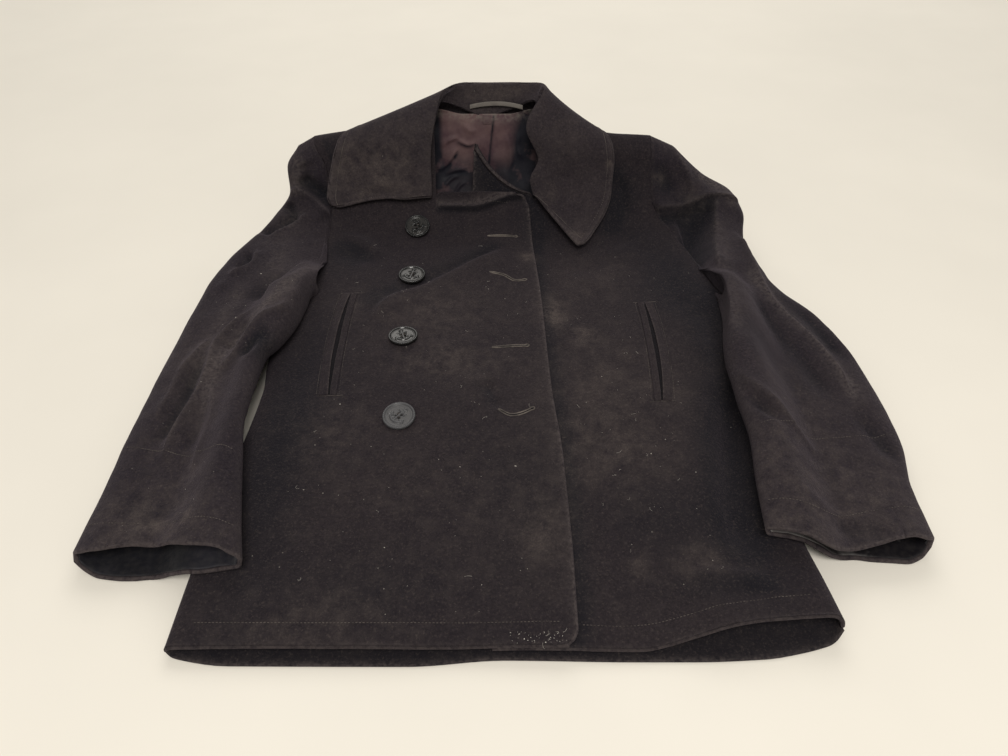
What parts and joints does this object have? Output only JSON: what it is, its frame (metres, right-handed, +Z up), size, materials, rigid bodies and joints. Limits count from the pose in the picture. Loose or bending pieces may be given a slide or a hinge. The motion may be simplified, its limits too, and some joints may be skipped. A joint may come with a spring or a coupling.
{
  "type": "double-breasted wool pea coat laid flat on its back",
  "caption": "Short double-breasted wool coat laid open side up with the fronts lapped, a wide turned-down collar, upright welt pockets and plain cuffs.",
  "frame": {"origin": "on the surface that the coat lies on, under the centre of its bounding box", "axes": "+Z up, away from the surface; +Y from the hem towards the collar; the wearer's right side is at -X"},
  "size_m": [0.831, 0.7521, 0.206],
  "materials": {
    "wool_back": "brushed melton wool",
    "wool_overlap": "brushed melton wool",
    "wool_underlap": "brushed melton wool",
    "wool_sleeve_right_upper": "brushed melton wool",
    "wool_sleeve_right_under": "brushed melton wool",
    "wool_sleeve_left_upper": "brushed melton wool",
    "wool_sleeve_left_under": "brushed melton wool",
    "wool_collar": "brushed melton wool",
    "satin_back": "satin weave",
    "satin_cuff_right": "satin weave",
    "satin_cuff_left": "satin weave",
    "hanger_cloth": "plain weave tape",
    "wool_welt": "brushed melton wool",
    "button_black": "polished moulded plastic"
  },
  "bodies": {
    "root": {"back": "wool_back", "front_overlap": "wool_overlap", "front_underlap": "wool_underlap", "sleeve_right_upper": "wool_sleeve_right_upper", "sleeve_right_under": "wool_sleeve_right_under", "sleeve_left_upper": "wool_sleeve_left_upper", "sleeve_left_under": "wool_sleeve_left_under", "collar": "wool_collar", "back_lining": "satin_back", "cuff_lining_right": "satin_cuff_right", "cuff_lining_left": "satin_cuff_left", "hanger_loop": "hanger_cloth", "welt_right_side": "wool_welt", "welt_right_front": "wool_welt", "welt_left_side": "wool_welt", "welt_left_front": "wool_welt", "button_1": "button_black", "button_2": "button_black", "button_3": "button_black", "button_4": "button_black"}
  },
  "joints": []
}
